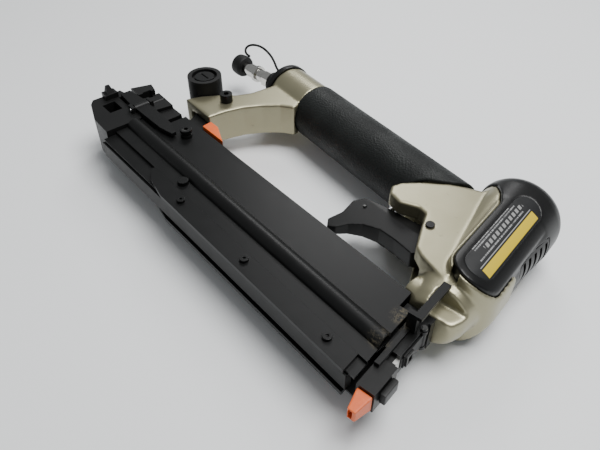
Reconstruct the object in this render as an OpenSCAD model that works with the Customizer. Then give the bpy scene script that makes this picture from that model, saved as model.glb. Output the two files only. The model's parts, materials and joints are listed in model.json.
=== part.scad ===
// Pneumatic flooring stapler lying on its side.
// Tool axes: x forward along the magazine, y from the floor tip up to the cap,
// z across the tool, with z = 0 on its middle plane.

/* [Head] */
// Lean of the drive axis back from square to the magazine, degrees
lean = 10; // [6:0.5:13]
// Radius of the head cap, which the tool lies on
head_r = 27.5; // [27:0.5:30]
// Length of the drive axis from the magazine's floor edge to the cap's top
head_top = 182; // [181:1:190]
// Radius of the casting where the cap does not cover it
casting_r = 26.6; // [26.4:0.1:26.8]
// Radius of the piston
piston_r = 13.9; // [12.5:0.1:13.9]
// Travel of the piston from its rest to the bumper
stroke = 46; // [38:1:47]

/* [Handle] */
// Radius of the rubber grip
grip_r = 20.8; // [20:0.1:22]
// Radius of the casting inside the grip
handle_r = 18; // [16:0.5:18.5]
// Length of the grip from its front point to its rear ring
grip_len = 147; // [140:1:150]
// Fall of the handle towards the head, degrees
handle_tilt = 4.7; // [3:0.1:6]

/* [Magazine] */
// Length of the magazine shell
mag_len = 242; // [220:1:243]
// Height of the magazine
mag_h = 60; // [58:1:62]
// Half the thickness of the magazine shell
mag_t = 12; // [11.5:0.5:12.5]

/* [Nose and safety] */
// Half the thickness of the nose column
nose_t = 7.5; // [7:0.5:8]
// Travel of the contact foot
foot_travel = 6; // [3:0.5:6]
// Length of the orange tip below the foot
tip_len = 11.5; // [10:0.5:15]

/* [Rear] */
// Radius of the rubber striking hammer
hammer_r = 13.3; // [12:0.1:14]
// Length of the striking hammer
hammer_len = 50; // [44:1:54]
// Radius of the air plug's sealing barrel
plug_r = 4; // [3.5:0.1:4.2]

/* [Hidden] */
$fn = 64;

gap = 0.3;         // room between pieces that move past each other
run = 0.06;        // radial room of a running fit
seam = 0.2;        // parting line between pieces that stay together

// Where the box of the whole tool has its middle
centre_x = -149;
centre_y = 85;
exit_x = 2;                         // the drive axis meets the floor edge here
mag_front = -4;                     // foremost point of the magazine, beside the foot
mag_rear = mag_front - mag_len;
grip_x = -58;                       // front point of the grip, on the handle's axis
grip_y = 139.5;

gold = "#b9b394";
black = "#2b2d2d";
rubber = "#1f2020";
steel = "#8d9092";
orange = "#f08040";

// ---- frames and shapes -------------------------------------------------------------------

module lay() { translate([-centre_x, -centre_y, head_r]) children(); }
module drive() { lay() translate([exit_x, 0, 0]) rotate([0, 0, lean]) children(); }
module handle() { lay() translate([grip_x, grip_y, 0]) rotate([0, 0, -handle_tilt]) children(); }

module rod_x(r, x0, x1) { translate([x0, 0, 0]) rotate([0, 90, 0]) cylinder(r = r, h = x1 - x0); }
module rod_y(r, y0, y1) { translate([0, y0, 0]) rotate([-90, 0, 0]) cylinder(r = r, h = y1 - y0); }
module rod_z(r, z0, z1) { translate([0, 0, z0]) cylinder(r = r, h = z1 - z0); }
module tube_y(r, hole, y0, y1) {
    difference() {
        rod_y(r, y0, y1);
        rod_y(hole, y0 - 1, y1 + 1);
    }
}
module block(lo, hi) { translate(lo) cube(hi - lo); }
// An outline in x and y, given a thickness across the tool
module plate(z0, z1) { translate([0, 0, z0]) linear_extrude(z1 - z0) children(); }
// A section in y and z, run along the magazine
module along(x0, x1) { translate([x0, 0, 0]) rotate([90, 0, 90]) linear_extrude(x1 - x0) children(); }
// A turned shape about the drive axis, from points of radius and height
module turned(points) { rotate([-90, 0, 0]) rotate_extrude() polygon(points); }
module turned_x(points) { rotate([0, 90, 0]) rotate_extrude() polygon(points); }
// Both sides of the tool
module both() {
    children();
    mirror([0, 0, 1]) children();
}
// A socket screw along z, its head above z = 0 and its shank below
module socket_screw(r, head_radius, head_h, shank) {
    difference() {
        union() {
            rod_z(head_radius, 0, head_h);
            rod_z(r, -shank, 0.01);
        }
        rod_z_hex(r * 0.85, head_h * 0.4, head_h + 1);
    }
}
module rod_z_hex(r, z0, z1) { translate([0, 0, z0]) cylinder(r = r, h = z1 - z0, $fn = 6); }

// A round wire coil along y
module coil(r, wire, y0, y1, turns) {
    sides = 6;
    steps = turns * 14;
    points = [
        for (i = [0:steps], k = [0:sides - 1])
        let (
            t = i / steps,
            a = 360 * turns * t,
            b = 360 * k / sides,
            rr = r + wire * cos(b)
        )
        [rr * cos(a), y0 + wire + (y1 - y0 - 2 * wire) * t + wire * sin(b), rr * sin(a)]
    ];
    rings = [
        for (i = [0:steps - 1], k = [0:sides - 1])
        [i * sides + k, i * sides + (k + 1) % sides, (i + 1) * sides + (k + 1) % sides, (i + 1) * sides + k]
    ];
    first = [for (k = [sides - 1:-1:0]) k];
    last = [for (k = [0:sides - 1]) steps * sides + k];
    polyhedron(points, concat(rings, [first, last]), convexity = 10);
}

// ---- head ---------------------------------------------------------------------------------

head_foot = 60;                     // underside of the casting's head
bore_floor = 75;
sleeve_top = 140;
cap_seat = 150;                     // the cap's joint face on the casting
bore_r = 17.2;
skin = 2;                           // how much thinner the casting is under the cap
sleeve_r = piston_r + 0.08;
screw_ring = 20.8;                  // pitch radius of the cap's screws
cap_left = -5;                      // rear edge of the label side of the cap
cap_low = 79;                       // its rounded lower end
label_r = 14;                       // half the width of the raised oval
oval_r = 27.4;                      // the oval keeps the head's width all the way down

function dome(r, top, n) = [for (i = [0:n]) let (a = 90 * i / n) [r - 14 + 14 * cos(a), top - 14 + 14 * sin(a)]];

// The head tapers towards the nose; its radius at each height, for a widest radius r
module head_form(r, top) {
    turned(concat(
        [[0, head_foot], [r - 13, head_foot], [r - 11, head_foot + 2], [r - 9, head_foot + 7],
         [r - 6.3, head_foot + 23], [r - 4.4, 106], [r - 2.4, 130], [r, 152]],
        dome(r, top, 6),
        [[0, top + 1]]
    ));
}

// Side outline of what the cap covers: a rounded tab, the whole front and the top
module cap_outline(grow) {
    union() {
        translate([cap_left + label_r, cap_low + label_r]) circle(label_r + grow);
        translate([cap_left - grow, cap_low + label_r]) square([2 * label_r + 2 * grow, 62]);
        polygon([
            [10, 122 - grow], [22, 111 - grow], [40, 116 - grow], [40, 200], [-40, 200], [-40, 172 - grow],
            [-24 - grow, 169 - grow], [-15 - grow, 163], [-9 - grow, 154], [cap_left - grow, 144], [0, 140]
        ]);
    }
}

module cylinder_cap() color(black) drive() difference() {
    union() {
        intersection() {
            union() {
                head_form(head_r, head_top);
                label_pad(oval_r, 0);
            }
            plate(-40, 40) cap_outline(0);
        }
        rod_y(casting_r - skin - seam, cap_seat, 168);
    }
    intersection() {
        head_form(casting_r - skin + seam, head_top);
        rod_y(40, 40, cap_seat);
    }
    rod_y(bore_r, cap_seat - 1, 165);
    for (a = [45:90:315]) rotate([0, a, 0]) translate([screw_ring, 0, 0]) {
        rod_y(1.65, cap_seat - 1, 200);
        rod_y(3.1, 166, 200);
    }
    label_shell(oval_r - 0.8, 30, 0.15);
    // Exhaust way from the chamber to the grille at the front
    block([grille_x, 121, -10.3], [40, 153.3, 10.3]);
    block([15, 150.5, -6], [grille_x + 1, 156, 6]);
}
module cap_gasket() color(rubber) drive() difference() {
    tube_y(casting_r - skin - 1, bore_r, cap_seat - 1.95, cap_seat - 0.05);
    for (a = [45:90:315]) rotate([0, a, 0]) translate([screw_ring, 0, 0]) rod_y(1.8, 140, 160);
}

module cap_screws() color(steel) drive() for (a = [45:90:315]) rotate([0, a, 0]) translate([screw_ring, 166, 0])
    rotate([-90, 0, 0]) socket_screw(1.5, 2.8, 3, 24);

module label_outline(grow) {
    translate([cap_left + label_r, 0]) union() {
        translate([0, cap_low + label_r]) circle(label_r - 5.5 + grow);
        translate([-label_r + 5.5 - grow, cap_low + label_r]) square([2 * label_r - 11 + 2 * grow, 58]);
        translate([0, cap_low + label_r + 58]) circle(label_r - 5.5 + grow);
    }
}
module label_shell(r0, r1, grow) intersection() {
    tube_y(r1, r0, 60, 170);
    plate(-40, 40) label_outline(grow);
}
module label_plate() color("#3a3c3a") drive() label_shell(oval_r - 0.75, oval_r - 0.2, 0);
// The raised oval that carries the label on each side of the head
module label_pad(r, grow) intersection() {
    rod_y(r, 60, 175);
    plate(-40, 40) label_outline(5.5 + grow);
}

grille_x = 22.6;                    // floor of the exhaust chamber behind the grille
module exhaust_grille() color(black) drive() difference() {
    intersection() {
        difference() {
            head_form(head_r - 0.3, head_top - 0.3);
            head_form(casting_r - skin + 0.3, head_top);
        }
        block([grille_x + 0.3, 121.3, -10], [40, 153, 10]);
    }
    for (y = [125:6:149]) block([grille_x - 5, y, -8], [40, y + 2.6, 8]);
}

module cylinder_sleeve() color(steel) drive() difference() {
    union() {
        rod_y(sleeve_r + 1.7, bore_floor + 0.1, sleeve_top);
        for (y = [bore_floor + 0.1, 104, sleeve_top - 3]) rod_y(bore_r - 0.05, y, y + 3);
    }
    rod_y(sleeve_r, bore_floor - 1, sleeve_top + 1);
    // Return-air ports
    for (a = [30:60:330]) rotate([0, a, 0]) translate([0, 96, 0]) rod_x(1.5, 10, 30);
}

piston_top = 138;
module piston() color(steel) drive() difference() {
    union() {
        rod_y(piston_r, piston_top - 10, piston_top);
        rod_y(6, piston_top - 15, piston_top - 9);
    }
    tube_y(piston_r + 1, piston_r - 1.9, piston_top - 7, piston_top - 4);
    block([-0.85, piston_top - 30, -3], [0.85, piston_top - 6, 3]);
}
module piston_ring() color(rubber) drive() tube_y(piston_r - 0.02, piston_r - 1.85, piston_top - 6.95, piston_top - 4.05);
module driver_blade() color(steel) drive() block([-0.8, 44, -2.8], [0.8, piston_top - 6.1, 2.8]);

bumper_top = piston_top - 10 - stroke - 0.5;
module bumper() color(rubber) drive() turned([
    [6.3, bore_floor + 0.15], [sleeve_r - 0.4, bore_floor + 0.15], [sleeve_r - 0.4, bumper_top - 5],
    [11, bumper_top - 2], [9, bumper_top], [6.3, bumper_top]
]);

module head_valve() color(steel) drive() difference() {
    union() {
        rod_y(bore_r - 0.3, sleeve_top + 0.3, 149.5);
        rod_y(7, 149, 158);
    }
    rod_y(11, sleeve_top - 1, 143);
    rod_y(4, 140, 160);
}
module head_valve_spring() color(steel) drive() coil(10, 0.8, 149.6, 164.9, 5);

// ---- casting ------------------------------------------------------------------------------

pivot = [-46, 101];                 // the trigger's pin
arm_t = 13;                         // half the thickness of the rear arm
gusset_t = 19.5;

module gusset_outline() {
    difference() {
        polygon([
            [-20, 172], [-42, 162], [-46, 150], [-54, 146], [-63, 140], [-77, 127], [-84, 118], [-86, 111],
            [-82, 105], [-72, 103], [-61, 108.5], [-55, 107.5], [-48, 95], [-40, 82], [-34, 79], [-20, 76],
            [-8, 76], [-12, 120]
        ]);
        translate([-46, 163]) circle(9);
    }
}
module arm_outline() {
    polygon([
        [-266, 73], [-262, 84], [-254, 97], [-246, 106], [-241, 117], [-239, 134], [-239, 160], [-206, 160],
        [-203, 129], [-212, 123], [-221, 112], [-228, 99.5], [-232, 86], [-233.5, 72]
    ]);
}
module trigger_bay() {
    plate(-9, 9) polygon([[-110, 60], [-110, 121], [-86, 121], [-80, 116], [-56, 114], [-38, 108], [-32, 92], [-34, 70]]);
}

module body_casting() color(gold) difference() {
    union() {
        drive() head_form(casting_r, head_top - 3);
        drive() label_pad(casting_r - 0.1, 2.2);
        // Boss beside the safety link
        lay() translate([0, 67.5, 5]) rod_x(9, -28, -13);
        difference() {
            lay() union() {
                plate(-gusset_t, gusset_t) gusset_outline();
                plate(-arm_t, arm_t) arm_outline();
            }
            handle() grip_form(grip_r + seam);
        }
        handle() rod_x(handle_r, -grip_len - 5, 0);
        handle() rod_x(handle_r + 2, handle_end, -grip_len - seam);
    }
    // Room for the cap, whose joint face has a gasket under it
    drive() difference() {
        plate(-40, 40) cap_outline(seam);
        intersection() {
            head_form(casting_r - skin, head_top);
            rod_y(40, 40, cap_seat - 2);
        }
    }
    drive() rod_y(casting_r - skin, cap_seat - 2, 200);
    // Cylinder bore and the driver's way through its floor
    drive() rod_y(bore_r, bore_floor, 200);
    drive() block([-1.6, 50, -3.4], [1.6, bore_floor + 1, 3.4]);
    drive() for (a = [45:90:315]) rotate([0, a, 0]) translate([screw_ring, 0, 0]) rod_y(1.65, 141, 160);
    drive() rod_y(40, 171, 220);
    // The head's lower end stands on the magazine's top edge
    intersection() {
        lay() block([-70, 40, -40], [0, mag_h + 0.5, 40]);
        drive() block([-40, 40, -40], [-13.2, 90, 40]);
    }
    // Air reservoir along the handle
    handle() rod_x(13, handle_end - 4, -12);
    handle() rod_x(15.3, handle_end - 4, handle_end + 10);
    handle() rod_x(7, -14, 22);
    // Trigger bay, trigger pin and valve housing
    lay() trigger_bay();
    lay() translate([pivot.x, pivot.y, 0]) rod_z(1.5 + run, -40, 40);
    lay() translate([valve_x, valve_y, 0]) rod_y(valve_r + 0.05, -12, 20);
    // Recess for the safety link, its way up beside the cylinder, and the slot behind the boss
    drive() block([-2.5, 50, 7.5], [30, 71.5, 30]);
    drive() block([-1.6, 50, 18.7], [4.1, 84.5, 40]);
    lay() block([-34, 55, 2], [-29, 71, 30]);
    // Arm bolt, hammer lug and bracket
    lay() translate([arm_hole.x, arm_hole.y, 0]) rod_z(2.6, -20, 20);
    lay() block([-275, 88, -4.1], [-238, 102, 4.1]);
    lay() block([-258, 70, -6.1], [-236, 80, 6.1]);
    // Nose screws
    drive() nose_screw_places() rod_y(1.65, 50, head_foot + 6);
}

// The grip's outside; its front edge runs forward over the top of the gusset
module grip_form(r) difference() {
    rod_x(r, -grip_len, 1.5);
    translate([-2, 21, 0]) plate(-40, 40) polygon([
        [4, 2], [3.5, -5], [1.5, -14], [-2.5, -20.2], [-8.5, -25], [-16, -29.6], [-25, -37.8], [-33.5, -44.5],
        [-34, -50], [20, -50], [20, 2]
    ]);
}
module grip_sleeve() color(rubber) difference() {
    handle() grip_form(grip_r);
    handle() rod_x(handle_r + 0.05, -grip_len - 1, 10);
    lay() translate([valve_x, valve_y, 0]) rod_y(valve_r + seam, -12, 10);
}

// ---- handle end and air plug ---------------------------------------------------------------

handle_end = -grip_len - 36;        // face the end cap is screwed against
plug_drop = 8.7;                    // the plug points this far below the handle's line, degrees
module plug_frame() { handle() translate([handle_end - 5, 0, 0]) rotate([0, 0, plug_drop]) children(); }

module end_cap() color(black) difference() {
    union() {
        handle() rod_x(21, handle_end - 5, handle_end - 0.05);
        handle() rod_x(15.2, handle_end - 0.1, handle_end + 9);
        plug_frame() rod_x(9.5, -7, 2);
    }
    handle() rod_x(12.5, handle_end - 1, handle_end + 12);
    plug_frame() rod_x(5, -20, 20);
}
module air_filter() color(steel) handle() difference() {
    rod_x(12.3, handle_end + 10, handle_end + 34);
    rod_x(11.3, handle_end + 9, handle_end + 33);
    for (a = [0:45:315], x = [3:6:27]) rotate([a, 0, 0]) translate([handle_end + 9 + x, 0, 0]) rod_z(1.2, 5, 20);
}
module plug_collar() color(rubber) plug_frame() difference() {
    rod_x(9.3, -10.4, -7.05);
    rod_x(7.1, -12, -6);
}
barrel_end = -60;                   // far end of the plug's barrel
module air_plug() color(steel) plug_frame() difference() {
    union() {
        rod_x(4.95, -7.2, 6);
        translate([-24, 0, 0]) rotate([0, 90, 0]) cylinder(r = 7, h = 16.9, $fn = 6);
        rod_x(5.2, -33, -23.9);
        rod_x(6.9, -36, -32.9);
        rod_x(5.6, -44, -35.9);
        rod_x(4.6, -50, -43.9);
        rod_x(plug_r, barrel_end, -49.9);
    }
    rod_x(2.5, -70, 20);
}
module dust_cap() color(rubber) plug_frame() difference() {
    translate([-62.5, 0, 0]) turned_x([[0, 0], [5.5, 0], [8.4, 2.2], [8.9, 6], [8.9, 10], [8, 12.1], [0, 12.1]]);
    rod_x(plug_r + run, barrel_end - 0.4, -40);
}

// The strap's loop, as distances along the plug and out from its axis, and its lean round it
strap_r = 1.1;
strap_lean = 45;
strap_way = [
    [-53, 9.9], [-57.5, 10.4], [-61, 12.5], [-61.5, 16], [-58, 19.2], [-52, 21], [-45, 21.4], [-38, 20.2],
    [-31, 18], [-25, 15], [-19.5, 11.6], [-14.5, 9.6]
];
// Points on a smooth curve through four others
function between(a, b, c, d, t) = 0.5 * (2 * b + (c - a) * t + (2 * a - 5 * b + 4 * c - d) * t * t
    + (3 * b - a - 3 * c + d) * t * t * t);
function strap_at(i, t) = let (w = strap_way, n = len(w) - 1)
    between(w[max(i - 1, 0)], w[i], w[min(i + 1, n)], w[min(i + 2, n)], t);
module dust_strap() color(rubber) plug_frame() {
    sides = 8;
    steps = 3;
    line = concat(
        [for (i = [0:len(strap_way) - 2], k = [0:steps - 1]) strap_at(i, k / steps)],
        [strap_way[len(strap_way) - 1]]
    );
    count = len(line);
    points = [
        for (i = [0:count - 1])
        let (
            a = line[max(i - 1, 0)],
            b = line[min(i + 1, count - 1)],
            d = (b - a) / norm(b - a)
        )
        for (k = [0:sides - 1])
        let (
            out = strap_r * cos(360 * k / sides),
            side = strap_r * sin(360 * k / sides),
            x = line[i].x - d.y * out,
            r = line[i].y + d.x * out
        )
        [x, r * cos(strap_lean) - side * sin(strap_lean), r * sin(strap_lean) + side * cos(strap_lean)]
    ];
    skin = [
        for (i = [0:count - 2], k = [0:sides - 1])
        [i * sides + k, (i + 1) * sides + k, (i + 1) * sides + (k + 1) % sides, i * sides + (k + 1) % sides]
    ];
    caps = [[for (k = [0:sides - 1]) k], [for (k = [sides - 1:-1:0]) (count - 1) * sides + k]];
    polyhedron(points, concat(skin, caps), convexity = 10);
}
module strap_ring() color(rubber) plug_frame() difference() {
    rod_x(8.4, -16, -10.8);
    rod_x(7.2, -17, -10);
}

// ---- nose ---------------------------------------------------------------------------------

foot_top = 22;
neck_top = foot_top + foot_travel + gap;
foot_low = 2;
module channel(y0, y1) { block([-1.1, y0, -3.1], [1.1, y1, 3.1]); }

hinge_at = [3.2, 50];               // the nose door's pin, ahead of the drive axis
column_top = head_foot - 5;
module nose_screw_places() { for (p = [[-10, -8], [-10, 3], [1, -10.6]]) translate([p.x, 0, p.y]) children(); }

module nose_body() color(black) drive() difference() {
    union() {
        block([-6.5, neck_top, -nose_t], [3, column_top + 0.1, nose_t]);
        block([-3.6, foot_low + foot_travel + 1.5, -4.6], [3, neck_top + 0.1, 4.6]);
        // Flange under the head
        block([-13, column_top, -13.5], [4.5, head_foot - 0.1, 7]);
        both() translate([hinge_at.x, hinge_at.y, 0]) rod_z(2.3, 5.2, nose_t);
    }
    channel(0, head_foot + 5);
    nose_screw_places() rod_y(1.65, 40, head_foot + 5);
    // Door seat and its pin
    block([1.3, neck_top + 0.3, -3.6], [8, hinge_at.y, 3.6]);
    translate([hinge_at.x, hinge_at.y, 0]) {
        rod_z(2.3, -5.3, 5.3);
        rod_z(1 + run, -12, 12);
    }
    // Way for staples out of the magazine
    block([-20, 4, -3.1], [-1, 47.6, 3.1]);
}
module nose_door() color(steel) drive() difference() {
    union() {
        block([1.6, neck_top + 0.7, -3.3], [3.4, hinge_at.y - 3, 3.3]);
        block([3.05, neck_top + 2.7, -5], [4.2, hinge_at.y, 5]);
        translate([hinge_at.x, hinge_at.y, 0]) rod_z(1.9, -5, 5);
    }
    translate([hinge_at.x, hinge_at.y, 0]) rod_z(1 + run, -20, 20);
}
module door_pin() color(steel) drive() translate([hinge_at.x, hinge_at.y, 0]) union() {
    rod_z(1, -nose_t - 0.5, nose_t + 0.4);
    rod_z(1.9, nose_t + 0.35, nose_t + 1.5);
}
module door_latch() color(steel) drive() difference() {
    block([4.25, 32, -4], [5.3, 38.5, 4]);
    block([4, 33.5, -2.5], [6, 37, 2.5]);
}
module nose_screws() color(steel) drive() nose_screw_places()
    translate([0, column_top - 0.05, 0]) rotate([90, 0, 0]) socket_screw(1.5, 2.7, 2.2, 10);

module contact_foot() color(black) drive() difference() {
    block([-5, foot_low, -nose_t], [5.7, foot_top, nose_t]);
    block([-3.9, foot_low + 1.5, -4.9], [3.4, foot_top + 1, 4.9]);
    channel(-10, 40);
    block([-10, 3.4, -3.1], [-2, 40, 3.1]);
}
module tongue_guide() color(black) drive() block([5.75, foot_low + 4, -3], [9.5, foot_low + 16, 5]);
// The link runs up beside the nose, steps out under the head and on up beside the cylinder
module contact_link() color(black) drive() union() {
    block([-4.6, foot_top - 6, nose_t + 0.05], [-1.6, 47, nose_t + 2.6]);
    block([-4.6, 44, nose_t + 0.06], [1, 47, 21.3]);
    block([-1.1, 44.1, 18.95], [3.5, 73.5, 21.3]);
}
module contact_spring() color(steel) drive() translate([-3.1, 0, 11.4]) coil(1.3, 0.35, 47.1, head_foot - 0.2, 7);

module nose_tip() color(orange) drive() difference() {
    hull() {
        block([-4, foot_low - 0.8, -5.5], [5, foot_low - 0.05, 5.5]);
        block([-1.6, foot_low - tip_len, -4], [3, foot_low - tip_len + 1, 4]);
    }
    channel(-40, 40);
}

// ---- magazine -----------------------------------------------------------------------------

ridge_y = 27;
ridge_z = 9;
ridge_r = 6;
strip_t = 10.4;
lip_t = 8.3;
wall = 1.4;
tail = 18;                          // how far the lower half reaches behind the upper one
cover_x = [-167, -100, -30];        // screws along the lower edge
post = [-224, 47];                  // the latch catches on this post

module shell_section() {
    difference() {
        union() {
            translate([31.6, -mag_t]) square([mag_h - 31.6, 2 * mag_t]);
            translate([12, -strip_t]) square([22, 2 * strip_t]);
            translate([2, -lip_t]) square([11, 2 * lip_t]);
            for (s = [-1, 1]) translate([ridge_y, s * ridge_z]) circle(ridge_r);
        }
        translate([33, -mag_t + wall]) square([mag_h - 33 - wall, 2 * (mag_t - wall)]);
        translate([12 + wall, -strip_t + wall]) square([22, 2 * (strip_t - wall)]);
        translate([1, -lip_t + wall]) square([13, 2 * (lip_t - wall)]);
        for (s = [-1, 1]) translate([ridge_y, s * ridge_z]) circle(ridge_r - wall);
    }
}
module magazine_shell() color(black) lay() difference() {
    along(mag_rear - tail, mag_front) shell_section();
    block([mag_rear - tail - 1, 34, -30], [mag_rear, mag_h + 1, 30]);
    // Front edge follows the nose, with a notch for the flange under the head
    translate([exit_x, 0, 0]) rotate([0, 0, lean]) {
        block([-7.1, -5, -30], [60, 70, 30]);
        block([-13.5, column_top - 3.2, -30], [60, 90, 30]);
    }
    for (x = cover_x) translate([x, 6.5, 0]) rod_z(1.3, -30, 30);
    translate([post.x, post.y, 0]) rod_z(2.05, -30, 30);
    // Bracket screws
    for (x = [-222, -206]) translate([x, 0, 0]) rod_y(1.65, 50, 70);
}

module guide_rails() color(steel) lay() difference() {
    both() along(mag_rear + 2, mag_front - 22) union() {
        translate([36, 3.3]) square([21.5, 1.7]);
        translate([36, 3.3]) square([1.6, mag_t - wall - 3.4]);
        translate([55.9, 3.3]) square([1.6, mag_t - wall - 3.4]);
    }
    translate([post.x, post.y, 0]) rod_z(2.2, -30, 30);
    for (x = [-222, -206]) translate([x, 0, 0]) rod_y(1.8, 50, 70);
}

module lower_covers() color(black) lay() difference() {
    both() plate(lip_t + 0.05, lip_t + 2.8) polygon([
        [-208, 11.6], [-208, 9], [-198, 3], [-180, -0.5], [-11, -0.5], [-13, 11.6]
    ]);
    for (x = cover_x) translate([x, 6.5, 0]) rod_z(1.65, -30, 30);
}
module cover_screws() color(steel) lay() both() {
    for (x = cover_x) translate([x, 6.5, lip_t + 2.85]) socket_screw(1.25, 2.7, 1.8, 5);
    translate([-182, 17.5, strip_t + 0.05]) rod_z(3.6, 0, 2.6);
}
module catch_post() color(steel) lay() translate([post.x, post.y, 0]) difference() {
    union() {
        rod_z(2, -mag_t - 2, mag_t + 0.05);
        rod_z(4.2, mag_t + 0.04, mag_t + 2.2);
        rod_z(3, mag_t + 2.1, mag_t + 4);
        rod_z(4.2, mag_t + 3.9, mag_t + 6.2);
        rod_z(3.6, -mag_t - 3, -mag_t - 0.05);
    }
    rod_z_hex(1.7, mag_t + 4.2, mag_t + 8);
}

// Moving slide: rail, housing, latch and pusher
rail_top = 44.6;
rail_rear = mag_rear - tail - 0.35;
module slide_rail() color(steel) lay() union() {
    along(rail_rear, mag_front - 6) translate([0.6, -6]) square([4.4, 12]);
    along(rail_rear, mag_front - 9) translate([4.9, -1.2]) square([rail_top - 4.9, 2.4]);
}
housing_rear = -310;
latch_at = [-276, 14.65];           // the latch's pin, across the slide, as x and z
module slide_housing() color(black) lay() difference() {
    union() {
        plate(-15, 13) polygon([
            [housing_rear, 17], [-305, 13], [-285, 6], [rail_rear - 0.05, 5.2], [rail_rear - 0.05, 33], [-268, 36],
            [-280, 36], [-290, 44], [housing_rear, 40]
        ]);
        plate(-15, 8) polygon([
            [-306, 39], [-290, 43], [-280, 34.6], [mag_rear - 1.5, 34.6], [mag_rear - 1.5, 60], [-298, 62]
        ]);
        // Two humps along the far edge
        plate(7.9, 15) polygon([[-304, 46.6], [-291, 46.6], [-290, 60], [-299, 62]]);
        plate(7.9, 13.5) polygon([[-286, 46.6], [-266, 46.6], [-264, 60], [-286, 61]]);
        plate(7.9, 11) polygon([[-291.5, 48], [-252, 48], [-252, 60], [-291.5, 60]]);
        // Thumb horn
        plate(6, 17) polygon([[housing_rear, 25], [-302, 25], [-302, 35], [housing_rear, 35]]);
        plate(16.9, 22) polygon([[-309, 27], [-304, 27], [-304, 33], [-309, 33]]);
        // The latch's two ears
        for (y = [31.5, 46.6]) block([-279.5, y, 7.9], [-272.5, y + 2.4, 17.5]);
    }
    translate([latch_at.x, 0, latch_at.y]) rod_y(1.6 + run, 20, 60);
    block([-298, 19, 4], [-285, 29, 30]);
    block([-292, 50, 9], [-284, 57, 30]);
    block([-301, 34.2, 6.5], [-262, 46.3, 30]);
    block([rail_rear - 0.1, 34, -1.35], [mag_rear + 5, rail_top + 0.5, 1.35]);
}
module latch_lever() color(black) lay() difference() {
    union() {
        plate(13.3, 16) polygon([
            [-300, 36], [-282, 34.6], [-240, 35.5], [-228, 38], [-228.5, 41.5], [-232, 41.5], [-240, 44.5],
            [-280, 45.9], [-300, 44]
        ]);
        translate([latch_at.x, 0, latch_at.y]) rod_y(3, 34.6, 45.9);
    }
    translate([latch_at.x, 0, latch_at.y]) rod_y(1.6 + run, 20, 60);
}
module latch_pin() color(steel) lay() translate([latch_at.x, 0, latch_at.y]) rod_y(1.6, 30.8, 49.6);
module latch_spring() color(steel) lay() translate([-293, 40, 0]) rotate([90, 0, 0]) coil(2.2, 0.4, 6.6, 13.2, 4);

pusher_x = mag_front - 18.5;
module pusher() color(steel) lay() difference() {
    along(pusher_x - 22, pusher_x) translate([16, -2.9]) square([35.5, 5.8]);
    along(pusher_x - 23, pusher_x + 1) translate([10, -1.35]) square([rail_top - 9, 2.7]);
    translate([pusher_x - 14, 49.3, 0]) block([-6, -1.8, -2], [6, 1.5, 2]);
}
module pusher_spring() color(steel) lay() translate([pusher_x - 14, 49.3, 0]) block([-5.5, -1.4, -1.7], [5.5, 1.2, 1.7]);

// ---- rear arm -----------------------------------------------------------------------------

arm_hole = [-243, 95];
hammer_at = [-272, 95];
module arm_bracket() color(black) lay() difference() {
    plate(-6, 6) polygon([
        [-257.5, 79.6], [-236.4, 79.6], [-236.4, 71], [-231, mag_h + 3.1], [-200, mag_h + 3.1],
        [-196, mag_h + 0.1], [-246, mag_h + 0.1], [-249, 66]
    ]);
    for (x = [-222, -206]) translate([x, 0, 0]) rod_y(1.65, 50, 80);
    translate([-222, 0, 0]) block([-3, 63, -7], [3, 90, 7]);
}
module arm_pad() color(orange) lay() plate(-11, 11) polygon([
    [-230, 71.5], [-221, 71.5], [-203, mag_h + 3.4], [-229, mag_h + 3.4]
]);
module arm_bolt() color(black) lay() translate([arm_hole.x, arm_hole.y, arm_t + 0.05]) difference() {
    union() {
        rod_z(4.7, 0, 6.6);
        rod_z(2.5, -2 * arm_t - 4, 0.1);
        translate([0, 0, -2 * arm_t - 4.5]) rod_z_hex(4.6, 0, 4);
    }
    rod_z_hex(2.2, 2.8, 10);
}
module hammer_lug() color(black) lay() difference() {
    plate(-4, 4) union() {
        polygon([[-274, 88.2], [-238.2, 88.2], [-238.2, 101.8], [-274, 101.8]]);
        translate(hammer_at) circle(9);
    }
    translate([arm_hole.x, arm_hole.y, 0]) rod_z(2.6, -20, 20);
    translate([hammer_at.x, hammer_at.y, 0]) rod_z(3.1, -20, 20);
}
hammer_z0 = -head_r + 0.2;
module hammer() color(rubber) lay() translate([hammer_at.x, hammer_at.y, 0]) difference() {
    rod_z(hammer_r, hammer_z0, hammer_z0 + hammer_len);
    rod_z(3.1, -40, 40);
    rod_z(9.8, hammer_z0 + hammer_len - 3, 40);
    rod_z(9.8, -40, hammer_z0 + 5);
    plate(-4.2, 4.2) union() {
        circle(9.3);
        translate([0, -7.1]) square([30, 14.2]);
    }
}
module hammer_bolt() color(black) lay() translate([hammer_at.x, hammer_at.y, 0]) difference() {
    union() {
        rod_z(3, hammer_z0 + 2, hammer_z0 + hammer_len - 2.5);
        rod_z(7.5, hammer_z0 + hammer_len - 2.95, hammer_z0 + hammer_len - 0.8);
        rod_z(7.5, hammer_z0 + 1, hammer_z0 + 4.95);
    }
    translate([-5, -0.7, hammer_z0 + hammer_len - 1.6]) cube([10, 1.4, 3]);
}

// ---- trigger ------------------------------------------------------------------------------

valve_x = -84;
valve_y = 126;
valve_r = 7.5;
idler_at = [-92, 94.5];

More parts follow.
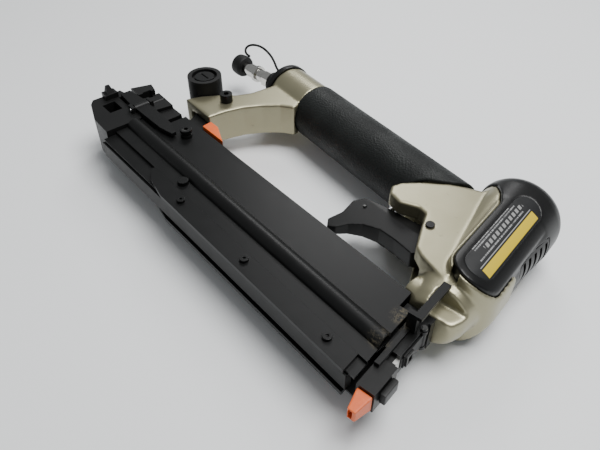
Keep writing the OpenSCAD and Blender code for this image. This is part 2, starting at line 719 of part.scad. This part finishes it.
module trigger_outline() {
    union() {
        translate(pivot) circle(5.5);
        polygon([
            [-46, 106.5], [-58, 107.5], [-84, 103.5], [-97, 100], [-101, 93], [-99, 82], [-101.5, 72], [-97.5, 67.5],
            [-93, 70.5], [-89, 77.5], [-82, 83.5], [-72, 87.5], [-60, 88], [-46, 87], [-41.5, 91], [-40.5, 99]
        ]);
    }
}
module trigger() color(black) lay() difference() {
    plate(-8, 8) trigger_outline();
    // Pocket for the idler lever
    plate(-5, 5) polygon([[-96, 88], [-60, 94], [-60, 120], [-96, 120]]);
    translate([pivot.x, pivot.y, 0]) rod_z(1.5 + run, -20, 20);
    translate([idler_at.x, idler_at.y, 0]) rod_z(1 + run, -20, 20);
}
module trigger_pin() color(steel) lay() translate([pivot.x, pivot.y, 0]) union() {
    rod_z(1.5, -gusset_t - 0.2, gusset_t + 0.1);
    rod_z(2.8, gusset_t + 0.05, gusset_t + 1.3);
}
module idler_lever() color(steel) lay() difference() {
    union() {
        plate(-4.6, 4.6) polygon([[-94.5, 94], [-90, 94.4], [-64, 99.5], [-64, 101.5], [-90, 98.5], [-94.5, 97.5]]);
        translate([idler_at.x, idler_at.y, 0]) rod_z(2.4, -4.6, 4.6);
    }
    translate([idler_at.x, idler_at.y, 0]) rod_z(1 + run, -20, 20);
}
module idler_pin() color(steel) lay() translate([idler_at.x, idler_at.y, 0]) rod_z(1, -7.9, 7.9);
module valve_housing() color(steel) lay() translate([valve_x, valve_y, 0]) difference() {
    rod_y(valve_r, -9, 12);
    rod_y(2 + run, -20, 20);
    rod_y(4, -4, 20);
}
module valve_stem() color(steel) lay() translate([valve_x, valve_y, 0]) union() {
    rod_y(2, -22, 3);
    rod_y(3.6, -3.8, -0.5);
}
module valve_spring() color(steel) lay() translate([valve_x, valve_y, 0]) coil(2.9, 0.4, -0.3, 11.5, 6);

// ---- nodes --------------------------------------------------------------------------------

body_casting();
grip_sleeve();
cylinder_cap();
cap_gasket();
cap_screws();
label_plate();
exhaust_grille();
cylinder_sleeve();
piston();
piston_ring();
driver_blade();
bumper();
head_valve();
head_valve_spring();
trigger();
trigger_pin();
idler_lever();
idler_pin();
valve_housing();
valve_stem();
valve_spring();
end_cap();
air_filter();
plug_collar();
air_plug();
dust_cap();
dust_strap();
strap_ring();
nose_body();
nose_door();
door_pin();
door_latch();
nose_screws();
tongue_guide();
contact_foot();
contact_link();
contact_spring();
nose_tip();
magazine_shell();
guide_rails();
lower_covers();
cover_screws();
catch_post();
slide_rail();
slide_housing();
latch_lever();
latch_pin();
latch_spring();
pusher();
pusher_spring();
arm_bracket();
arm_pad();
arm_bolt();
hammer_lug();
hammer();
hammer_bolt();
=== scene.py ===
# %% [markdown]
# # A pneumatic flooring stapler, lying on its side
# The tool drives staples through the tongue of a floor board. It lies on the side of its head, with
# the magazine in front and the rubber grip behind. The solid model of every part is loaded first as a
# fixed frame, and this lesson adds what a solid model leaves out: soft cast edges, rubber grain,
# worn paint, a printed label, and the light to see them in.

# %% Load the solid model
import json
import math

import bpy
from mathutils import Matrix, Vector


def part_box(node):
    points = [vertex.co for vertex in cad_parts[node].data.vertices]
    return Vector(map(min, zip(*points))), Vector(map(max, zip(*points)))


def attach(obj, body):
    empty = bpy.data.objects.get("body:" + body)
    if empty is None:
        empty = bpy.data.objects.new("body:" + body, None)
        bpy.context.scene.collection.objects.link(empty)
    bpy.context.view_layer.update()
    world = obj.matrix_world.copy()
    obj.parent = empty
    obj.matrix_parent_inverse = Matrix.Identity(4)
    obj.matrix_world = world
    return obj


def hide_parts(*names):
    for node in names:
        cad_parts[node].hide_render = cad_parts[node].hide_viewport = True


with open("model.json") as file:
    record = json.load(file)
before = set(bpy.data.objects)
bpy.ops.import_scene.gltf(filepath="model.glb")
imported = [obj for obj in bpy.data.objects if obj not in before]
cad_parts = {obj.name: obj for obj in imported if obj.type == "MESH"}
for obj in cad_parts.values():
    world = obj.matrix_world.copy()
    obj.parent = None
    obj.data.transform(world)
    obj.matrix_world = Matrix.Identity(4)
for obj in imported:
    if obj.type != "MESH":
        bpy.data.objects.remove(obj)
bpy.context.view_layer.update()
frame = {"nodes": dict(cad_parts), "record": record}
record = frame["record"]
MM = 0.001

# %% [markdown]
# ## Where things are
# Two local frames make the places easy to say. The tool frame has x along the magazine, y up from
# the floor edge and z across. The drive frame leans with the piston, so the cap and the nose are
# square in it. Both come from the record's joints and the casting's box, so they follow the solid
# model when it moves. The trigger's pin is 46 mm behind the tool frame's zero and 101 mm above it.

# %% Local frames
PIN_BACK = 46 * MM
PIN_UP = 101 * MM
DRIVE_FORWARD = 2 * MM

joint = {j["name"]: j for j in record["behaviour"]["joints"]}
casting_low, casting_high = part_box("body_casting")

down = Vector(joint["piston_stroke"]["axis"])
lean = math.atan2(down.x, -down.y)
middle_z = (casting_low[2] + casting_high[2]) / 2
trigger_pin = joint["trigger_pull"]["pos_m"]
tool_zero = Vector((trigger_pin[0] + PIN_BACK, trigger_pin[1] - PIN_UP, middle_z))
TOOL = Matrix.Translation(tool_zero)
DRIVE = TOOL @ Matrix.Translation((DRIVE_FORWARD, 0, 0)) @ Matrix.Rotation(lean, 4, "Z")
print("lean of the drive axis", round(math.degrees(lean), 2), "degrees; tool zero", tuple(tool_zero))

# %% [markdown]
# ## Camera
# A camera is made first, so that each new piece can be judged from where it will be seen. It stands
# in front of the nose and looks down on the side of the tool.

# %% Camera
camera_data = bpy.data.cameras.new("camera")
camera_data.lens = 36
camera_data.sensor_width = 36
camera = bpy.data.objects.new("camera", camera_data)
camera.location = (0.2487, -0.2057, 0.2845)
camera.rotation_euler = (math.radians(47), 0, math.radians(49.84))
bpy.context.scene.collection.objects.link(camera)
bpy.context.scene.camera = camera
print("camera at", tuple(camera.location))

# %% [markdown]
# ## Shader maths as plain expressions
# A material is a graph of nodes. Writing it as arithmetic keeps it readable: the class below holds
# one socket, and +, -, *, < and > on it add the Math nodes. Any other node comes from the method `node`.


# %% A socket that can be calculated with
class Wire:
    def __init__(self, tree, socket):
        self.tree = tree
        self.socket = socket

    def node(self, kind, inputs=None, output=0, **settings):
        made = self.tree.nodes.new(kind)
        for key, value in settings.items():
            if key == "stops":
                ramp = made.color_ramp.elements
                while len(ramp) < len(value):
                    ramp.new(1)
                for stop, (place, colour) in zip(ramp, value):
                    stop.position = place
                    stop.color = colour
            else:
                setattr(made, key, value)
        for key, value in (inputs or {}).items():
            if isinstance(value, Wire):
                self.tree.links.new(value.socket, made.inputs[key])
            else:
                made.inputs[key].default_value = value
        return Wire(self.tree, made.outputs[output])

    def maths(self, operation, a, b=0.0):
        return self.node("ShaderNodeMath", {0: a, 1: b}, operation=operation)

    def __add__(self, other):
        return self.maths("ADD", self, other)

    def __radd__(self, other):
        return self.maths("ADD", other, self)

    def __sub__(self, other):
        return self.maths("SUBTRACT", self, other)

    def __rsub__(self, other):
        return self.maths("SUBTRACT", other, self)

    def __mul__(self, other):
        return self.maths("MULTIPLY", self, other)

    def __lt__(self, other):
        return self.maths("LESS_THAN", self, other)

    def __gt__(self, other):
        return self.maths("GREATER_THAN", self, other)

    def noise(self, size, detail=2.0, roughness=0.5):
        return self.node("ShaderNodeTexNoise", {"Vector": self, "Scale": 1 / size, "Detail": detail,
                                                "Roughness": roughness})

    def cells(self, size):
        return self.node("ShaderNodeTexVoronoi", {"Vector": self, "Scale": 1 / size})

    def steps(self, low, high):
        """0 below low, 1 above high and a smooth climb between."""
        return self.node("ShaderNodeMapRange", {"Value": self, "From Min": low, "From Max": high},
                         interpolation_type="SMOOTHSTEP")

    def mix(self, a, b):
        """Colour a where this wire is 0 and colour b where it is 1."""
        return self.node("ShaderNodeMix", {0: self, 6: a, 7: b}, output=2, data_type="RGBA")

    def bump(self, height, strength=1.0):
        """A normal that tilts as if the surface rose by this wire times height, in metres."""
        return self.node("ShaderNodeBump", {"Height": self, "Distance": height, "Strength": strength})


def rgb(red, green, blue):
    return (red, green, blue, 1.0)


# %% A new material and its wires
def material(name, **constants):
    """An empty Principled material; returns it, its shader node, and the Object coordinates."""
    made = bpy.data.materials.new(name)
    made.use_nodes = True
    tree = made.node_tree
    shader = tree.nodes["Principled BSDF"]
    for key, value in constants.items():
        shader.inputs[key.replace("_", " ")].default_value = value
    place = Wire(tree, tree.nodes.new("ShaderNodeTexCoord").outputs["Object"])
    return made, shader, place


def feed(shader, name, wire):
    wire.tree.links.new(wire.socket, shader.inputs[name])


def along_axis(place, local, column):
    """The distance in millimetres along one axis (0, 1 or 2) of a local frame."""
    axis = local.col[column].to_3d()
    reach = place.node("ShaderNodeVectorMath", {0: place, 1: tuple(axis / MM)}, output=1,
                       operation="DOT_PRODUCT")
    return reach - local.translation.dot(axis) / MM


def band(wire, low, high, soft=0.25):
    """1 between low and high, 0 outside."""
    return wire.steps(low - soft, low + soft) - wire.steps(high - soft, high + soft)


def edges(place, low, high):
    """1 on worn outer edges: Geometry's pointiness, which is 0.5 on flat metal."""
    made = place.tree.nodes.new("ShaderNodeNewGeometry")
    return Wire(place.tree, made.outputs["Pointiness"]).steps(low, high)


# %% [markdown]
# ## Finishes
# Each finish is one small function's worth of nodes. The casting wears a thin metallic paint over
# its cast skin: a slow mottle in the colour, fine flake in the roughness, and a shallow orange peel.
# Dark grime gathers in patches where hands have left it.

# %% Champagne paint on the casting
casting_paint, shader, place = material("champagne_paint", Coat_Weight=0.25, Coat_Roughness=0.28,
                                       Specular_IOR_Level=0.5)
mottle = place.noise(0.018, 3)
grime = place.noise(0.006, 4, 0.65).steps(0.62, 0.8)
flake = place.noise(0.00035, 1)
base = mottle.mix(rgb(0.30, 0.28, 0.18), rgb(0.375, 0.35, 0.235))
feed(shader, "Base Color", (grime * 0.55).mix(base, rgb(0.1, 0.09, 0.05)))
feed(shader, "Metallic", 0.85 - grime * 0.3)
feed(shader, "Roughness", 0.33 + flake * 0.1 + grime * 0.15)
feed(shader, "Normal", (place.noise(0.0011, 2) * 0.7 + flake * 0.3).bump(0.00004, 0.6))
print("made", casting_paint.name)

# %% [markdown]
# The grip is soft rubber moulded with a fine leathery grain. Cells give the grain its pebbles, and
# a slow noise makes the polished patches where the palm rubs.

# %% Grained rubber
grip_rubber, shader, place = material("grip_rubber", Specular_IOR_Level=0.25)
pebbles = place.cells(0.0013)
palm = place.noise(0.022, 3).steps(0.4, 0.7)
dust = place.noise(0.0012, 4, 0.7).steps(0.6, 0.85)
base = palm.mix(rgb(0.007, 0.0082, 0.0078), rgb(0.013, 0.0148, 0.0138))
feed(shader, "Base Color", (dust * 0.08).mix(base, rgb(0.2, 0.19, 0.17)))
feed(shader, "Roughness", 0.52 - palm * 0.12 + pebbles * 0.1)
feed(shader, "Normal", (pebbles * -1.0 + place.noise(0.0004, 2) * 0.4).bump(0.00028, 0.9))
print("made", grip_rubber.name)

# %% [markdown]
# The cap, the trigger and the slide's housing are glass-filled plastic with a satin skin. The small
# rubber parts differ from them only in gloss and grain, so one function makes all four finishes.


# %% Moulded black plastics and rubber
def moulded(name, shade, gloss, grain):
    made, shader, place = material(name, Specular_IOR_Level=0.3)
    cloud = place.noise(0.012, 3)
    scuff = place.noise(0.003, 5, 0.7).steps(0.62, 0.82)
    dark = rgb(shade * 0.85, shade * 0.87, shade * 0.87)
    pale = rgb(shade * 1.2, shade * 1.22, shade * 1.2)
    base = cloud.mix(dark, pale)
    feed(shader, "Base Color", (scuff * 0.07).mix(base, rgb(0.16, 0.15, 0.13)))
    feed(shader, "Roughness", gloss + scuff * 0.12 + cloud * 0.06)
    feed(shader, "Normal", place.noise(grain, 2).bump(0.00003, 0.7))
    return made


cap_plastic = moulded("cap_plastic", 0.0045, 0.3, 0.0006)
trigger_plastic = moulded("trigger_plastic", 0.0035, 0.36, 0.0005)
housing_plastic = moulded("housing_plastic", 0.0045, 0.42, 0.0005)
soft_rubber = moulded("soft_rubber", 0.005, 0.55, 0.0004)
print("made three black plastics and a rubber")

# %% [markdown]
# The magazine and the nose are sheet and machined steel under black oxide. Use has rubbed the oxide
# off along the edges of the nose and the screws, and wood dust sticks in the oil near the nose.


# %% Black oxide steel
def black_oxide(name, shade, gloss, wear=0.0, dusty=(), bare=None):
    """Oxide of a given shade and gloss, with dust round some spots and bare metal where `bare` is 1."""
    made, shader, place = material(name, Specular_IOR_Level=0.25)
    cloud = place.noise(0.01, 4)
    dark = rgb(shade * 0.8, shade * 0.84, shade * 0.84)
    pale = rgb(shade * 1.25, shade * 1.3, shade * 1.28)
    base = cloud.mix(dark, pale)
    rough = gloss + cloud * 0.1
    rub = edges(place, 0.56, 0.7) * place.noise(0.002, 4, 0.7).steps(0.4, 0.6) * wear
    if bare:
        rub = rub.maths("MAXIMUM", rub, bare(place))
    base = rub.mix(base, rgb(0.5, 0.5, 0.48))
    for spot, reach in dusty:
        away = place.node("ShaderNodeVectorMath", {0: place, 1: tuple(spot)}, output=1, operation="DISTANCE")
        settled = (1 - away.steps(reach * 0.25, reach)) * place.noise(0.0016, 5, 0.75).steps(0.45, 0.62)
        base = (settled * 0.45).mix(base, rgb(0.2, 0.17, 0.11))
        rough = rough + settled * 0.35
    feed(shader, "Base Color", base)
    feed(shader, "Metallic", 0.1 + rub * 0.8)
    feed(shader, "Roughness", rough - rub * 0.1)
    feed(shader, "Normal", place.noise(0.0007, 3).bump(0.000025, 0.5))
    return made


def rubbed_band(place):
    """Bare metal across the front of the nose, just above the foot."""
    return band(along_axis(place, DRIVE, 1), 24.5, 28.2) * (along_axis(place, DRIVE, 0) > 1)


dust_spots = [
    (DRIVE @ Vector((-0.008, 0.047, 0.0105)), 0.009),
    (DRIVE @ Vector((-0.010, 0.028, 0.0105)), 0.008),
]
magazine_steel = black_oxide("magazine_steel", 0.0055, 0.33, dusty=dust_spots)
nose_steel = black_oxide("nose_steel", 0.0045, 0.34, 0.15, dust_spots, rubbed_band)
rail_steel = black_oxide("rail_steel", 0.006, 0.4)
bar_steel = black_oxide("bar_steel", 0.0055, 0.38)
screw_steel = black_oxide("screw_steel", 0.006, 0.3, 0.3)
print("made five black oxides")

# %% [markdown]
# The bright metals differ in how they are finished: the air plug is nickel plated, the driver blade
# and the valve stem are ground steel, the piston and its sleeve are turned aluminium.


# %% Bright metals
def bright_metal(name, colour, gloss, mark):
    made, shader, place = material(name, Metallic=1.0)
    tarnish = place.noise(0.004, 4, 0.6).steps(0.45, 0.75)
    feed(shader, "Base Color", (tarnish * 0.3).mix(colour, rgb(0.3, 0.29, 0.26)))
    feed(shader, "Roughness", gloss + tarnish * 0.14)
    feed(shader, "Normal", place.noise(mark, 2).bump(0.00001, 0.5))
    return made


nickel = bright_metal("nickel_plate", rgb(0.62, 0.61, 0.58), 0.12, 0.002)
ground_steel = bright_metal("ground_steel", rgb(0.5, 0.5, 0.5), 0.28, 0.0006)
turned_aluminium = bright_metal("turned_aluminium", rgb(0.6, 0.6, 0.6), 0.32, 0.0005)
spring_wire = bright_metal("spring_wire", rgb(0.35, 0.35, 0.35), 0.3, 0.0005)
print("made four bright metals")

# %% [markdown]
# Soft orange urethane keeps the nose from marking the floor. It is scuffed, so its colour wanders
# and its gloss is broken.

# %% Orange urethane
urethane, shader, place = material("orange_urethane", Specular_IOR_Level=0.4)
cloud = place.noise(0.004, 4, 0.6)
scuff = place.noise(0.0015, 5, 0.7).steps(0.55, 0.75)
base = cloud.mix(rgb(0.66, 0.085, 0.012), rgb(0.85, 0.17, 0.03))
feed(shader, "Base Color", (scuff * 0.3).mix(base, rgb(0.85, 0.33, 0.15)))
feed(shader, "Roughness", 0.36 + scuff * 0.25)
feed(shader, "Normal", place.noise(0.0008, 3).bump(0.00005, 0.6))
print("made", urethane.name)

# %% [markdown]
# The label is a satin dark film. A yellow stripe runs beside its front edge, and rows of short pale
# dashes stand where a maker would print. All of it is worked out from the distance across and along
# the leaning head, so it follows the curve of the label.

# %% Label film
LABEL_LOW, LABEL_HIGH = 90, 151
# Each row of dashes: its place across, its two ends along the head, and the length of a dash
DASH_ROWS = [
    (-0.8, 100, 148, 1.1),
    (0.8, 98, 142, 0.8),
    (2.4, 98, 146, 0.9),
    (8.2, 94, 146, 0.9),
]

label_film, shader, place = material("label_film", Specular_IOR_Level=0.5)
across = along_axis(place, DRIVE, 0)
up = along_axis(place, DRIVE, 1)
stripe = band(across, 11.6, 16.4, 0.15) * band(up, LABEL_LOW, LABEL_HIGH, 0.15)
edge_line = band(across, 10.2, 10.7, 0.1) * band(up, LABEL_LOW, LABEL_HIGH, 0.15)
dashes = 0.0
for row, low, high, length in DASH_ROWS:
    pattern = (up * 0.001).noise(length * MM, 2)
    line = band(across, row - 0.4, row + 0.4, 0.12) * band(up, low, high, 0.2)
    dashes = dashes + line * pattern.steps(0.46, 0.5)
block_mark = band(across, 4.2, 6.6, 0.15) * band(up, 104, 150, 0.15) * (
    up.maths("FRACT", up * 0.25 + across * 0.1) < 0.62)
base = dashes.mix(rgb(0.005, 0.0055, 0.006), rgb(0.3, 0.3, 0.3))
base = block_mark.mix(base, rgb(0.25, 0.25, 0.245))
base = edge_line.mix(base, rgb(0.3, 0.3, 0.3))
base = stripe.mix(base, rgb(0.6, 0.44, 0.02))
feed(shader, "Base Color", base)
feed(shader, "Roughness", 0.34 + place.noise(0.004, 3) * 0.1)
print("made", label_film.name)

# %% [markdown]
# ## Finishes on the solid model
# Every solid part gets its finish, also those inside that only show in a cut or a pose.

# %% Paint the solid parts
finish = {
    casting_paint: ["body_casting"],
    grip_rubber: ["grip_sleeve"],
    cap_plastic: ["cylinder_cap", "exhaust_grille", "end_cap"],
    label_film: ["label_plate"],
    trigger_plastic: ["trigger"],
    housing_plastic: ["slide_housing"],
    soft_rubber: ["cap_gasket", "piston_ring", "bumper", "plug_collar", "dust_cap", "dust_strap",
                  "strap_ring", "hammer"],
    magazine_steel: ["magazine_shell", "lower_covers"],
    nose_steel: ["nose_body", "nose_door", "contact_foot", "contact_link", "tongue_guide", "door_latch"],
    bar_steel: ["arm_bracket", "hammer_lug", "latch_lever"],
    rail_steel: ["slide_rail", "guide_rails"],
    screw_steel: ["cap_screws", "nose_screws", "cover_screws", "catch_post", "arm_bolt", "hammer_bolt",
                  "trigger_pin", "door_pin", "idler_pin"],
    nickel: ["air_plug"],
    ground_steel: ["driver_blade", "idler_lever", "valve_stem", "air_filter", "latch_pin", "pusher"],
    turned_aluminium: ["cylinder_sleeve", "piston", "head_valve", "valve_housing"],
    spring_wire: ["head_valve_spring", "valve_spring", "contact_spring", "latch_spring", "pusher_spring"],
    urethane: ["nose_tip", "arm_pad"],
}
finish_of = {node: mat for mat, nodes in finish.items() for node in nodes}
for node, solid in frame["nodes"].items():
    solid.data.materials.clear()
    solid.data.materials.append(finish_of[node])
print("painted", len(finish_of), "solid parts")

body_of = {n: b for b, nodes in record["behaviour"]["bodies"].items() for n in nodes}


# %% [markdown]
# ## Softening the solid parts
# A solid model has knife edges, and nothing cast or moulded has. There are two ways to soften a
# copy of a part. A machined or pressed part keeps flat faces, so its copy gets a narrow bevel on
# every sharp edge. A casting or a rubber moulding is soft all over, so its copy is rebuilt from
# small voxels and smoothed, which also blends the places where its shapes meet.


# %% Helpers for copies
WELD = 0.000002
NEARLY_FLAT = math.radians(0.6)


def only(piece):
    bpy.ops.object.select_all(action="DESELECT")
    piece.select_set(True)
    bpy.context.view_layer.objects.active = piece


def merged_copy(node, name):
    """A copy of a solid part's mesh, with its loose triangles joined."""
    mesh = frame["nodes"][node].data.copy()
    piece = bpy.data.objects.new(name, mesh)
    bpy.context.scene.collection.objects.link(piece)
    only(piece)
    bpy.ops.mesh.customdata_custom_splitnormals_clear()
    bpy.ops.object.mode_set(mode="EDIT")
    bpy.ops.mesh.select_all(action="SELECT")
    bpy.ops.mesh.remove_doubles(threshold=WELD)
    bpy.ops.object.mode_set(mode="OBJECT")
    return piece


def modify(piece, kind, **settings):
    """Adds a modifier and applies it at once."""
    only(piece)
    made = piece.modifiers.new(kind.lower(), kind)
    for key, value in settings.items():
        setattr(made, key, value)
    bpy.ops.object.modifier_apply(modifier=made.name)


def settle(piece, node, smooth=35, flat=False):
    """Finishes a piece that stands for a solid part: its shading, finish and body; the solid part is hidden.
    """
    only(piece)
    bpy.ops.object.shade_smooth_by_angle(angle=math.radians(smooth))
    if flat:
        modify(piece, "WEIGHTED_NORMAL", keep_sharp=True, weight=100)
    piece.data.materials.clear()
    piece.data.materials.append(finish_of[node])
    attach(piece, body_of[node])
    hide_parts(node)
    print(piece.name, len(piece.data.polygons), "faces for", node)


def bevelled(node, name, width):
    """A copy of a solid part with flat faces kept and a bevel of `width` millimetres on sharp edges."""
    piece = merged_copy(node, name)
    bpy.ops.object.mode_set(mode="EDIT")
    bpy.ops.mesh.select_all(action="SELECT")
    bpy.ops.mesh.dissolve_limited(angle_limit=NEARLY_FLAT)
    bpy.ops.object.mode_set(mode="OBJECT")
    modify(piece, "BEVEL", width=width * MM, segments=2, limit_method="ANGLE",
           angle_limit=math.radians(32), use_clamp_overlap=True, harden_normals=False)
    return piece


def moulded_form(piece, voxel, rounds, ratio):
    """Rebuilds a copy from voxels of some millimetres, smooths it, and keeps a share of its faces."""
    modify(piece, "REMESH", mode="VOXEL", voxel_size=voxel * MM, adaptivity=0.0)
    modify(piece, "SMOOTH", factor=0.5, iterations=rounds)
    modify(piece, "DECIMATE", ratio=ratio)


# %% Cast body
casting = merged_copy("body_casting", "cast_body")
moulded_form(casting, 0.8, 12, 0.45)
settle(casting, "body_casting", smooth=60)

# %% Rubber grip
grip = merged_copy("grip_sleeve", "rubber_grip")
moulded_form(grip, 0.7, 8, 0.6)
settle(grip, "grip_sleeve", smooth=60)

# %% Head cap
cap = merged_copy("cylinder_cap", "head_cap")
moulded_form(cap, 0.7, 5, 0.5)
settle(cap, "cylinder_cap", smooth=60)

# %% Sheet and machined parts with a narrow bevel
for node, name, width in (
    ("magazine_shell", "magazine_case", 0.45),
    ("lower_covers", "cover_strips", 0.35),
    ("latch_lever", "latch_bar", 0.4),
    ("arm_bracket", "rear_bracket", 0.5),
    ("arm_pad", "rear_pad", 0.6),
    ("nose_body", "nose_column", 0.4),
    ("contact_foot", "foot_block", 0.9),
    ("contact_link", "link_bar", 0.35),
    ("tongue_guide", "guide_shoe", 0.8),
    ("hammer_lug", "lug_plate", 0.4),
    ("hammer", "striking_hammer", 0.9),
    ("hammer_bolt", "slotted_bolt", 0.25),
    ("arm_bolt", "socket_bolt", 0.3),
    ("cover_screws", "cover_screw_heads", 0.2),
    ("catch_post", "latch_post", 0.25),
    ("air_plug", "plated_plug", 0.25),
    ("plug_collar", "sealing_collar", 0.3),
    ("end_cap", "handle_end_cap", 0.6),
    ("dust_cap", "plug_dust_cap", 0.5),
    ("strap_ring", "strap_band", 0.3),
    ("slide_rail", "loading_rail", 0.2),
    ("exhaust_grille", "exhaust_fins", 0.4),
    ("label_plate", "label_sheet", 0.15),
    ("nose_door", "door_plate", 0.3),
    ("nose_screws", "nose_screw_heads", 0.2),
    ("trigger_pin", "trigger_pin_head", 0.25),
):
    settle(bevelled(node, name, width), node, flat=True)

# %% [markdown]
# The trigger's two cheeks slope in towards the finger. The solid trigger is a plate, so each cheek
# is cut from its copy with a slanted plane.

# %% Trigger
CHEEK_SLOPE = 0.16

trigger = merged_copy("trigger", "trigger_lever")
for side in (1, -1):
    bpy.ops.object.mode_set(mode="EDIT")
    bpy.ops.mesh.select_all(action="SELECT")
    cheek_at = TOOL @ Vector((-0.07, 0.1, side * 0.008))
    bpy.ops.mesh.bisect(plane_co=cheek_at, plane_no=(0, -CHEEK_SLOPE, side), use_fill=True,
                        clear_outer=True)
    bpy.ops.object.mode_set(mode="OBJECT")
moulded_form(trigger, 0.35, 2, 0.6)
settle(trigger, "trigger", smooth=40)

# %% [markdown]
# The slide's case carries a thumb horn. Its solid is a stepped block, so the top of the copy is drawn
# in towards the rear corner, which gives the horn its taper.

# %% Slide case and its horn
HORN_LOW = 17.3 * MM
HORN_FRONT = -0.302

slide_case = bevelled("slide_housing", "slide_case", 0.5)
horn_tip = TOOL @ Vector((-0.3085, 0.030, 0.022))
for vertex in slide_case.data.vertices:
    there = TOOL.inverted() @ vertex.co
    vertex.select = there.z > HORN_LOW and there.x < HORN_FRONT
bpy.ops.object.mode_set(mode="EDIT")
bpy.ops.mesh.select_mode(type="VERT")
bpy.ops.transform.resize(value=(0.4, 0.5, 1), center_override=horn_tip)
bpy.ops.object.mode_set(mode="OBJECT")
settle(slide_case, "slide_housing", flat=True)

# %% [markdown]
# The floor tip is a soft urethane moulding, worn round by the boards it slides on.

# %% Floor tip
tip = merged_copy("nose_tip", "floor_tip")
moulded_form(tip, 0.3, 9, 0.6)
settle(tip, "nose_tip", smooth=60)

# %% Dust strap
strap = merged_copy("dust_strap", "cap_strap")
modify(strap, "SUBSURF", levels=1, render_levels=1)
settle(strap, "dust_strap", smooth=60)

# %% [markdown]
# ## Floor and light
# A pale floor and a big soft light overhead, with a weaker one from the side, give the broad
# reflections that make black metal readable.

# %% Floor and lights
bpy.ops.object.select_all(action="DESELECT")
bpy.ops.mesh.primitive_plane_add(size=12, location=(0, 0, 0))
floor = bpy.context.object
floor.name = "floor"
floor_paint, shader, place = material("floor_paint", Roughness=0.55, Specular_IOR_Level=0.3)
shader.inputs["Base Color"].default_value = rgb(0.88, 0.895, 0.9)
floor.data.materials.append(floor_paint)


def area_light(name, place, size, power):
    """A round soft light that points at the middle of the tool."""
    data = bpy.data.lights.new(name, "AREA")
    data.shape = "DISK"
    data.size = size
    data.energy = power
    lamp = bpy.data.objects.new(name, data)
    lamp.location = place
    lamp.rotation_euler = (-Vector(place)).to_track_quat("-Z", "Y").to_euler()
    bpy.context.scene.collection.objects.link(lamp)


area_light("overhead", (0.25, 0.25, 1.2), 0.8, 19)
area_light("side", (-0.6, 0.7, 0.8), 0.5, 4)
world = bpy.data.worlds.new("world")
bpy.context.scene.world = world
world.use_nodes = True
world.node_tree.nodes["Background"].inputs["Color"].default_value = rgb(0.78, 0.8, 0.82)
world.node_tree.nodes["Background"].inputs["Strength"].default_value = 0.4
print("floor and lights are in")
